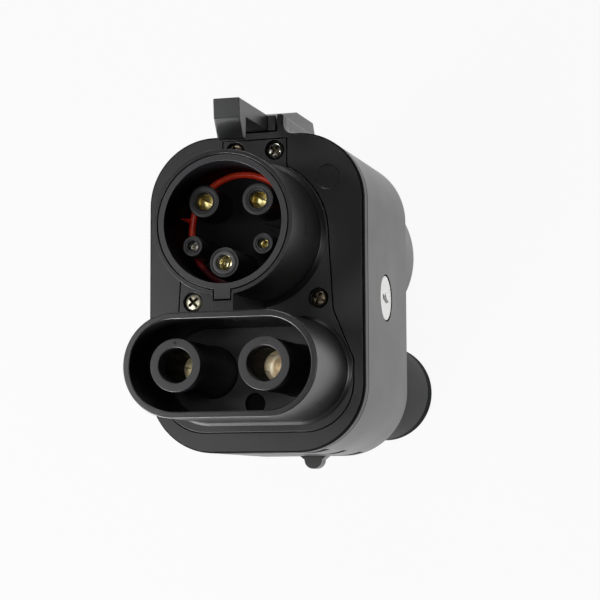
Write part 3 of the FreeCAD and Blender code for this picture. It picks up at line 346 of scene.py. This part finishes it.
axis_up = 14.0
mark_low, mark_high = 116.45, 116.95
mark_inside, mark_outside = 21.3, 21.54
mark_from, mark_sweep = -9, 19
slot_shade = moulded_plastic("slot_shade", "#060607", "#08080a", 0.7, 0.3, 0.02, lint="#101012", gloss=0.2)
slide_mark = turned([(mark_inside, mark_low), (mark_outside, mark_low), (mark_outside, mark_high),
                     (mark_inside, mark_high)], (0, axis_up), sweep=mark_sweep, start=mark_from, steps=12)
fitted(slide_mark, "slide_mark", "adapter", "nose_plastic", slot_shade)


# Barrel: the inner keyed wall of the round nose, on its floor. Glass-filled PBT. Its inward faces, the floor
# and the rib are painted near-black, as painted shade down the deep barrel; the rim and outer faces keep the
# plain PBT colour.
plain_pbt = moulded_plastic("plain_pbt", "#262627", "#2c2c2e", 0.36, 0.2, 0.03)
shade_black_pbt = moulded_plastic("shade_black_pbt", "#08080b", "#0b0b0e", 0.6, 0.3, 0.05, lint="#202024", gloss=0.12)
barrel_inside, barrel_skin = 18.5, 20.0
skin_relief = 0.15
barrel = copied("nose_barrel")
# Painted shade: the inward faces of the barrel's wall take the near-black second material.
for face in barrel.faces:
    spot = face.calc_center_median() - Vector((0, axis_up, 0))
    inward = abs(face.normal.z) < 0.5 and face.normal.x * spot.x + face.normal.y * spot.y < 0
    face.material_index = 1 if inward and spot.to_2d().length < barrel_inside else 0
for vert in barrel.verts:
    out = Vector((vert.co.x, vert.co.y - axis_up, 0))
    if out.length > barrel_skin:
        vert.co -= out.normalized() * skin_relief
barrel_wall = fitted(barrel, "barrel", "adapter", "insulator_plastic", plain_pbt, "nose_barrel",
                     edge_round=0.12)
barrel_wall.data.materials.append(shade_black_pbt)
fitted(copied("socket_insulator"), "barrel_floor", "adapter", "insulator_plastic", shade_black_pbt,
       "socket_insulator", edge_round=0.1)
rib_foot, rib_top = 109.8, 116.0
rib_outline = [(8.4, 15.0), (12.7, 11.1), (18.0, 10.4), (18.0, 12.6), (13.7, 13.4)]
rib = bmesh.new()
bmesh.ops.contextual_create(rib, geom=[rib.verts.new((x, y, rib_foot)) for x, y in rib_outline])
raised = bmesh.ops.extrude_face_region(rib, geom=rib.faces[:], use_keep_orig=True)["geom"]
bmesh.ops.translate(rib, vec=(0, 0, rib_top - rib_foot),
                    verts=[part for part in raised if isinstance(part, bmesh.types.BMVert)])
bmesh.ops.recalc_face_normals(rib, faces=rib.faces)
fitted(rib, "barrel_rib", "adapter", "insulator_plastic", shade_black_pbt, edge_round=0.25)


# Contact tubes: each is turned round its own axis, with a flat face and a funnel down to its mouth.
# The middle one has a paler, glossier ring on its end, painted paler as the highlight on a lit bevel.
def joined(*meshes):
    """Puts several meshes into one."""
    whole = meshes[0]
    for other in meshes[1:]:
        spare = bpy.data.meshes.new("spare")
        other.to_mesh(spare)
        other.free()
        whole.from_mesh(spare)
        bpy.data.meshes.remove(spare)
    return whole


tube_back = 94.0
floor_back = 106.8
shoulder = 0.3
contact_lip = 0.45
contact_gap = 0.1
contact_setback = 2.5
power_x, power_y = 8.4, 21.5
signal_x, signal_y = 10.9, 7.8
# centre, tube radius, face level, contact radius, radius of the funnel's edge
tubes = {
    "l1": ((-power_x, power_y), 4.85, 122.5, 2.75, 2.85),
    "n": ((power_x, power_y), 4.85, 122.5, 2.75, 2.85),
    "pe": ((0.0, 2.2), 4.5, 128.5, 2.6, 2.35),
    "pp": ((-signal_x, signal_y), 3.1, 125.4, 1.65, 1.7),
    "cp": ((signal_x, signal_y), 3.1, 125.4, 1.65, 1.7),
}
groove_depth = 0.35
tube_pbt = moulded_plastic("tube_pbt", "#1c1c1e", "#222224", 0.42, 0.2, 0.03)
for name, (centre, radius, face, contact, funnel) in tubes.items():
    mouth = contact + contact_gap - contact_lip
    seat = contact + contact_gap
    groove = radius - (0.75 if name == "pe" else 0.32 * radius)
    tube = turned([(seat, tube_back), (radius + shoulder, tube_back), (radius + shoulder, floor_back),
                   (radius, floor_back), (radius, face, 0.3), (groove + 0.12, face, 0.05),
                   (groove + 0.08, face - groove_depth), (groove - 0.08, face - groove_depth),
                   (groove - 0.12, face - 0.05, 0.05), (funnel, face - 0.05, 0.1),
                   (mouth, face - 1.2, 0.1), (mouth, face - contact_setback),
                   (seat, face - contact_setback)], centre)
    fitted(tube, name + "_sleeve", "adapter", "insulator_plastic", tube_pbt, name + "_tube")
# Painted highlight: a paler ring on the earth tube's end, standing for its lit bevel.
pe_ring_centre, _, pe_ring_face, _, _ = tubes["pe"]
pe_ring_inside, pe_ring_outside = 2.6, 3.4
pe_ring_low, pe_ring_high = pe_ring_face - 0.4, pe_ring_face + 0.06
pe_ring_highlight_pbt = moulded_plastic("pe_ring_highlight", "#38383a", "#404042", 0.35, 0.2, 0.02)
pe_ring = turned([(pe_ring_inside, pe_ring_low), (pe_ring_outside, pe_ring_low), (pe_ring_outside, pe_ring_high, 0.1),
                (pe_ring_inside, pe_ring_high, 0.1)], pe_ring_centre)
fitted(pe_ring, "pe_highlight_ring", "adapter", "insulator_plastic", pe_ring_highlight_pbt)

# Contacts of the round nose: turned tubes, slotted into four fingers that grip the mating pin.
# Brass in the two power ones, the earth and one signal one, and silver plate over brass in the last.
slot_width = 0.5
finger_length = 9
collar_thick, collar_extra = 2.5, 0.6
slot_turn = {"l1": 28, "n": 24, "pe": 10, "pp": 40, "cp": 15}


def plated(name, colour, tarnish, shine):
    """Bright metal. Fine turning marks vary its shine, and handling leaves darker tarnish."""
    material, tree = new_material(name)
    place = add(tree, "ShaderNodeTexCoord").outputs["Object"]
    dull = ranged(tree, noise(tree, place, 1.6, 3.0), 0.35, 0.75, 0.0, 1.0)
    surface = add(tree, "ShaderNodeBsdfPrincipled", {
        "Base Color": blended(tree, dull, colour, tarnish), "Metallic": 1.0,
        "Roughness": ranged(tree, noise(tree, place, 0.5), 0.3, 0.7, shine - 0.05, shine + 0.07)})
    add(tree, "ShaderNodeOutputMaterial", {"Surface": surface.outputs[0]})
    return material


def slotted_contact(centre, radius, bore, tip, back, split, fingers, turn, width, floored=True):
    """A turned tube with a solid root, and a finger between each two slots from there to its tip."""
    pieces = [turned([(0, back), (radius, back), (radius, split), (0, split)], centre)] if floored else []
    slot = degrees(width / radius)
    for number in range(fingers):
        start = turn + number * 360 / fingers + slot / 2
        pieces.append(turned([(bore, split), (radius, split), (radius, tip, 0.15), (bore, tip, 0.25)], centre,
                             sweep=360 / fingers - slot, start=start, steps=12))
    return joined(*pieces)


def split_plug(centre, radius, top, bottom, turn, offset, gap):
    """A round plug with a low point, cut in two by a straight slot that lies off its middle."""
    edge_level = top - 0.26 * radius
    halves = []
    across = Vector((-sin(radians(turn)), cos(radians(turn)), 0))
    for side in (-1, 1):
        half = turned([(0, bottom), (radius, bottom), (radius, edge_level, 0.1), (0, top)], centre, steps=48)
        edge = Vector((centre[0], centre[1], 0)) + across * (offset + side * gap / 2)
        bmesh.ops.bisect_plane(half, geom=half.verts[:] + half.edges[:] + half.faces[:], dist=0.0001,
                               plane_co=edge, plane_no=across * side, clear_inner=True)
        bmesh.ops.holes_fill(half, edges=[seam for seam in half.edges if seam.is_boundary])
        halves.append(half)
    return joined(*halves)


brass = plated("turned_brass", "#f8eaa8", "#dcc26c", 0.36)
pale_brass = plated("pale_brass", "#fcf2c4", "#ecdb98", 0.3)
silver = plated("silver_plate", "#f6f3ea", "#dcd4c0", 0.42)
# bore, depth of the plug below the tip, slot's turn and offset
contacts = {
    "l1": (2.3, 0.5, -27, 0.5, brass),
    "n": (2.3, 0.5, -27, 0.6, brass),
    "pe": (1.9, 0.7, 70, -0.5, pale_brass),
    "pp": (0.95, 0.5, 20, 0.3, silver),
    "cp": (0.9, 0.8, -30, 0.25, brass),
}
for name, (bore, depth, turn, offset, metal) in contacts.items():
    centre, _, face, radius, _ = tubes[name]
    tip = face - contact_setback - contact_gap
    split = tip - finger_length
    contact = slotted_contact(centre, radius, bore, tip, tube_back, split, 4, slot_turn[name], slot_width)
    plug = split_plug(centre, bore - 0.02, tip - depth, split - 0.5, turn, offset, 0.2 * bore)
    collar_back, collar_radius = tube_back - collar_thick, radius + collar_extra
    collar = turned([(0, collar_back), (collar_radius, collar_back), (collar_radius, tube_back),
                     (0, tube_back)], centre)
    fitted(joined(contact, plug, collar), name + "_contact", "adapter",
           "contact_silver" if metal is silver else "contact_brass", metal, name + "_socket")

# Seal cord: a round red silicone cord, laid on the barrel's floor against its wall.
# Its two ends meet on the left, where one end stands out as a short spur. Silicone lets some light in,
# which softens its shading. Its lower part is painted a dark wine red, as painted shade where little light
# reaches.
cord_radius = 1.05
cord_path = 16.95
cord_level = 110.7
cord_push = 0.7
meeting_turn, meeting_spread = 5, 40
spur_thick, spur_tip, spur_length, spur_tilt = 0.8, 0.15, 5.8, -7
spur_x, spur_y, spur_rise = -17.2, 17.5, 3.0
cord_dark_below, cord_lit_above = 0.002, 0.009
red_silicone, cord_tree = new_material("red_silicone")
cord_place = add(cord_tree, "ShaderNodeTexCoord").outputs["Object"]
cord_colour = blended(cord_tree, ranged(cord_tree, noise(cord_tree, cord_place, 6.0), 0.3, 0.7, 0.0, 1.0),
                      "#c02416", "#e04426")
# Painted shade: the cord turns dark wine red below a few millimetres of height.
cord_height = add(cord_tree, "ShaderNodeSeparateXYZ", {"Vector": cord_place}).outputs["Y"]
cord_lit = ranged(cord_tree, cord_height, cord_dark_below, cord_lit_above, 0.0, 1.0)
cord_colour = add(cord_tree, "ShaderNodeMix", {0: cord_lit, 6: linear("#4a0a18"), 7: cord_colour},
                  data_type="RGBA").outputs[2]
cord_surface = add(cord_tree, "ShaderNodeBsdfPrincipled", {
    "Base Color": cord_colour, "Roughness": 0.35, "IOR": 1.41, "Subsurface Weight": 0.25,
    "Subsurface Scale": 0.001, "Subsurface Radius": (1.0, 0.25, 0.1)})
add(cord_tree, "ShaderNodeOutputMaterial", {"Surface": cord_surface.outputs[0]})
cord = bmesh.new()
upright = Matrix.Rotation(pi / 2, 4, "X")
bmesh.ops.create_circle(cord, segments=16, radius=cord_radius,
                        matrix=Matrix.Translation((cord_path, axis_up, cord_level)) @ upright)
bmesh.ops.spin(cord, geom=cord.verts[:] + cord.edges[:], cent=(0, axis_up, 0), axis=(0, 0, 1), angle=2 * pi,
               steps=96, use_merge=True, use_duplicate=False)
for vert in cord.verts:
    out = Vector((vert.co.x, vert.co.y - axis_up, 0))
    off_meeting = (degrees(atan2(out.y, -out.x)) - meeting_turn) / meeting_spread
    vert.co -= out.normalized() * cord_push * exp(-off_meeting ** 2)
bmesh.ops.recalc_face_normals(cord, faces=cord.faces)
spur = bmesh.new()
bmesh.ops.create_cone(spur, cap_ends=True, segments=12, radius1=spur_thick, radius2=spur_tip,
                      depth=spur_length)
bmesh.ops.rotate(spur, verts=spur.verts, cent=(0, 0, 0), matrix=Matrix.Rotation(radians(spur_tilt), 3, "Y"))
bmesh.ops.translate(spur, verts=spur.verts, vec=(spur_x, spur_y, cord_level + spur_rise))
fitted(joined(cord, spur), "seal_cord", "adapter", "red_silicone", red_silicone, "seal_ring")

# Direct current contacts: two long PBT tubes on a carrier plate, and in each a silver-plated tube that
# is slotted into fingers. Above the fingers, near-black rings line the bore up to the contact's tip, as
# painted shade inside the bore, and a raised + or - on the tube's face tells the two apart.
dc_x, dc_y = 13.5, -27.9
dc_face = 133.1
dc_back = 94.0
dc_tube_radius, dc_tube_bore = 7.8, 5.2
dc_contact_radius, dc_contact_bore, dc_collar_radius = 5.1, 4.0, 6.5
dc_tip = 128.9
dc_slot = 0.35
mark_up = dc_y + 6.5
mark_long, mark_wide, mark_thick = 1.9, 0.4, 0.04
carrier_pbt = moulded_plastic("carrier_pbt", "#0f0f11", "#141416", 0.5, 0.3, 0.04)
fitted(copied("dc_carrier"), "carrier", "adapter", "insulator_plastic", carrier_pbt, "dc_carrier")
warm_silver = plated("warm_silver", "#fdf6e2", "#e0c08e", 0.36)
old_brass = plated("old_brass", "#f2e8c4", "#b4a26c", 0.4)
mark_ink = moulded_plastic("mark_ink", "#0c0c0d", "#0e0e0f", 0.5, 0.2, 0.01)
grip_bore = 4.8
shade_ring_split = 124.2
dc_floor = 99.9
# name, side, levels and turn of the grip's fingers, and the finish of what lies under them
dc_contacts = [("dc_plus", -1, 105.5, 111.8, 50, old_brass), ("dc_minus", 1, 110.8, 117.2, 14, warm_silver)]
for name, side, grip_low, grip_top, grip_turn, base in dc_contacts:
    centre = (side * dc_x, dc_y)
    tube = turned([(dc_tube_bore, dc_back), (dc_tube_radius, dc_back), (dc_tube_radius, dc_face, 0.25),
                   (dc_tube_bore, dc_face, 0.25)], centre, steps=96)
    fitted(tube, name + "_sleeve", "adapter", "insulator_plastic", tube_pbt, name + "_tube")
    root = turned([(0, dc_back), (dc_contact_radius, dc_back), (dc_contact_radius, grip_low),
                   (dc_contact_bore, grip_low), (dc_contact_bore, dc_floor), (0, dc_floor)], centre)
    collar = turned([(0, dc_back - collar_thick), (dc_collar_radius, dc_back - collar_thick),
                     (dc_collar_radius, dc_back), (0, dc_back)], centre)
    fitted(joined(root, collar), name + "_contact", "adapter", "contact_silver", base, name + "_socket")
    fingers = slotted_contact(centre, dc_contact_radius, grip_bore, grip_top, grip_low, grip_low, 6,
                              grip_turn, dc_slot, floored=False)
    fitted(fingers, name + "_grip", "adapter", "contact_silver", silver)
    # Painted shade: two near-black rings over the bore, from the fingers' tips to the contact's tip.
    for part, low, high in (("shade_ring_deep", grip_top, shade_ring_split), ("shade_ring_mouth", shade_ring_split, dc_tip)):
        ring = turned([(grip_bore, low), (dc_contact_radius, low), (dc_contact_radius, high),
                       (grip_bore, high)], centre, steps=96)
        fitted(ring, name + "_" + part, "adapter", "insulator_plastic", shade_black_pbt)
    sign = bmesh.new()
    for length, width in ((mark_long, mark_wide), (mark_wide, mark_long))[:2 if name == "dc_plus" else 1]:
        bar = bmesh.new()
        bmesh.ops.create_cube(bar, size=1)
        bmesh.ops.scale(bar, vec=(length, width, mark_thick), verts=bar.verts)
        bmesh.ops.translate(bar, vec=(centre[0], mark_up, dc_face + 0.005), verts=bar.verts)
        sign = joined(sign, bar)
    fitted(sign, name + "_mark", "adapter", "insulator_plastic", mark_ink)


# Screws of the two flanges: zinc-plated steel pan heads with a cross recess, in their counterbores.
# Two of the front ones have tarnished brown, so each has its own amount of tarnish.
def bite(bm, centre, turn, half_width, reach, depth, from_level):
    """Cuts a cross into the top of a turned head: four pairs of cuts, then the cross goes down."""
    across = Vector((cos(radians(turn)), sin(radians(turn)), 0))
    along = Vector((-across.y, across.x, 0))
    middle = Vector((centre[0], centre[1], 0))
    for normal in (across, along):
        for offset in (-reach, -half_width, half_width, reach):
            top = [face for face in bm.faces if face.calc_center_median().z > from_level
                   and (face.calc_center_median() - middle).to_2d().length < reach * 2]
            around = {part for face in top for part in face.edges[:] + face.verts[:]}
            bmesh.ops.bisect_plane(bm, geom=top + list(around), dist=0.0001,
                                   plane_co=middle + normal * offset, plane_no=normal)
    chosen = []
    for face in bm.faces:
        spot = face.calc_center_median()
        if spot.z < from_level or face.normal.z < 0.2:
            continue
        u, v = abs((spot - middle).dot(across)), abs((spot - middle).dot(along))
        if (u < half_width and v < reach) or (v < half_width and u < reach):
            chosen.append(face)
    sunk = bmesh.ops.extrude_face_region(bm, geom=chosen)["geom"]
    bottom = [part for part in sunk if isinstance(part, bmesh.types.BMVert)]
    bmesh.ops.delete(bm, geom=chosen, context="FACES")
    bmesh.ops.translate(bm, vec=(0, 0, -depth), verts=bottom)
    for vert in bottom:
        flat = Vector((vert.co.x - middle.x, vert.co.y - middle.y, 0))
        vert.co -= flat * 0.25
        # The cut's walls and floor take the second material, the painted shade of the recess.
        for face in vert.link_faces:
            face.material_index = 1


def pan_head(centre, seat, length, turn):
    """A screw that points down, with its head's underside at the seat."""
    head, shank = 2.8, 1.4
    bm = turned([(0, seat - length), (shank, seat - length, 0.3), (shank, seat), (head, seat),
                 (head, seat + 0.9, 0.5), (2.0, seat + 1.65, 0.5), (0, seat + 1.8)], (0, 0), steps=48)
    bite(bm, (0, 0), turn, half_width=0.48, reach=1.85, depth=1.1, from_level=seat + 0.95)
    bmesh.ops.translate(bm, vec=(centre[0], centre[1], 0), verts=bm.verts)
    return bm


zinc = plated("zinc_plate", "#efe9d2", "#cfc8ae", 0.42)
brown_zinc = plated("tarnished_zinc", "#8d8070", "#50463b", 0.34)
dark_zinc = plated("dull_zinc", "#a8a59c", "#5e5a54", 0.22)
# The cross recess gets a darker, browner zinc, as painted shade in the recess.
recess_shade = plated("shaded_recess_zinc", "#5c5443", "#2c261d", 0.5)
front_seat, front_length = 97.0, 13
front_screws = [((-20.2, -6.0), 40, zinc, "lower_left"), ((20.2, -6.0), 65, brown_zinc, "lower_right"),
                ((-6.4, 40.3), 20, brown_zinc, "upper_left"), ((6.4, 40.3), 50, dark_zinc, "upper_right")]
for number, (centre, turn, metal, spot) in enumerate(front_screws):
    screw = fitted(pan_head(centre, front_seat, front_length, turn), "front_screw_" + spot, "adapter",
                   "zinc_steel", metal, *(["nose_screws"] if number == 0 else []))
    screw.data.materials.append(recess_shade)

rear_seat, rear_length = 42.0, 10
rear_heads = []
for number, centre in enumerate(((-24.3, 35.9), (24.3, 35.9), (-28.4, -9.8), (28.4, -9.8))):
    screw = pan_head((0, 0), 0, rear_length, 20 + 25 * number)
    bmesh.ops.rotate(screw, verts=screw.verts, cent=(0, 0, 0), matrix=Matrix.Rotation(pi, 3, "X"))
    bmesh.ops.translate(screw, vec=(centre[0], centre[1], rear_seat), verts=screw.verts)
    rear_heads.append(screw)
rear_set = fitted(joined(*rear_heads), "rear_screw_set", "adapter", "zinc_steel", zinc, "rear_screws")
rear_set.data.materials.append(recess_shade)

# Latch: the rocking lever with its hook and thumb pad, grained PC/ABS, small rounds on all edges.
# It turns on a steel pin, with a plastic stopper over each end, and a coil spring holds it down.
lever_abs = moulded_plastic("lever_pc_abs", "#1c1d1d", "#242525", 0.34, 0.25, 0.04, gloss=0.64)
fitted(copied("latch_lever"), "lever", "lever", "lever_plastic", lever_abs, "latch_lever", edge_round=0.35,
       steps=3, rounded_from=11)
spring_steel = plated("spring_steel", "#8a8a8a", "#5c5c5c", 0.3)
coil = fitted(copied("latch_spring"), "spring", "adapter", "spring_steel", spring_steel, "latch_spring")
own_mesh(coil)
pin_end, pin_y, pin_z = 8.6, 49.2, 90.0
stopper_radius, stopper_thick = 1.48, 0.16
crossways = Matrix.Rotation(radians(90), 4, "Y")
for side, spot in ((-1, "left"), (1, "right")):
    stopper = bmesh.new()
    place = Matrix.Translation((side * pin_end, pin_y, pin_z)) @ crossways
    bmesh.ops.create_cone(stopper, cap_ends=True, segments=48, radius1=stopper_radius, radius2=stopper_radius,
                          depth=stopper_thick, matrix=place)
    fitted(stopper, "pin_stopper_" + spot, "adapter", "housing_plastic", grained_abs)

# Rear inlet: the flange with the round and the racetrack collar that the adapter stands on, and the
# rubber band round the racetrack one's open end. PBT, smooth on the round collar and matt on the other, whose
# darker colour is painted shade along its side.
rim_rubber = moulded_plastic("rim_rubber", "#070808", "#0a0b0b", 0.9, 0.3, 0.03, lint="#1c1c1c", gloss=0.12)
fitted(copied("rear_inlet"), "inlet", "adapter", "inlet_plastic", smooth_pbt, "rear_inlet", edge_round=0.15)
fitted(copied("round_collar"), "round_wall", "adapter", "inlet_plastic", smooth_pbt, "round_collar",
       edge_round=0.3)
# Painted shade: the racetrack collar's plastic is a darker copy of the PBT.
collar_shade_pbt = moulded_plastic("matt_collar_shade_pbt", "#0e0f0f", "#131414", 0.62, 0.3, 0.04, gloss=0.2)
fitted(copied("dc_collar"), "racetrack_wall", "adapter", "inlet_plastic", collar_shade_pbt, "dc_collar",
       edge_round=0.2)
fitted(copied("dc_rim_seal"), "rim_band", "adapter", "seal_rubber", rim_rubber, "dc_rim_seal", edge_round=0.2)
fitted(copied("rear_ac_insert"), "rear_round_block", "adapter", "insulator_plastic", plain_pbt,
       "rear_ac_insert", edge_round=0.3)
fitted(copied("rear_dc_insert"), "rear_racetrack_block", "adapter", "insulator_plastic", plain_pbt,
       "rear_dc_insert", edge_round=0.3)

# Inner pieces, and the pins of the rear side: their metals, rubber and board, on the CAD's own shapes.
copper = plated("bare_copper", "#c87f56", "#8f5334", 0.35)
board_lacquer = moulded_plastic("board_lacquer", "#12301c", "#163a22", 0.3, 0.3, 0.02)
inside = {"contact_silver": silver, "contact_brass": brass, "zinc_steel": zinc, "copper": copper,
          "spring_steel": spring_steel, "seal_rubber": rim_rubber, "red_silicone": red_silicone,
          "board": board_lacquer, "badge": badge_print, "insulator_plastic": shade_black_pbt}
for part in frame["record"]["subparts"]:
    if part["material_slot"] in inside:
        bare = nodes[part["node"]].data
        bare.materials.clear()
        bare.materials.append(inside[part["material_slot"]])
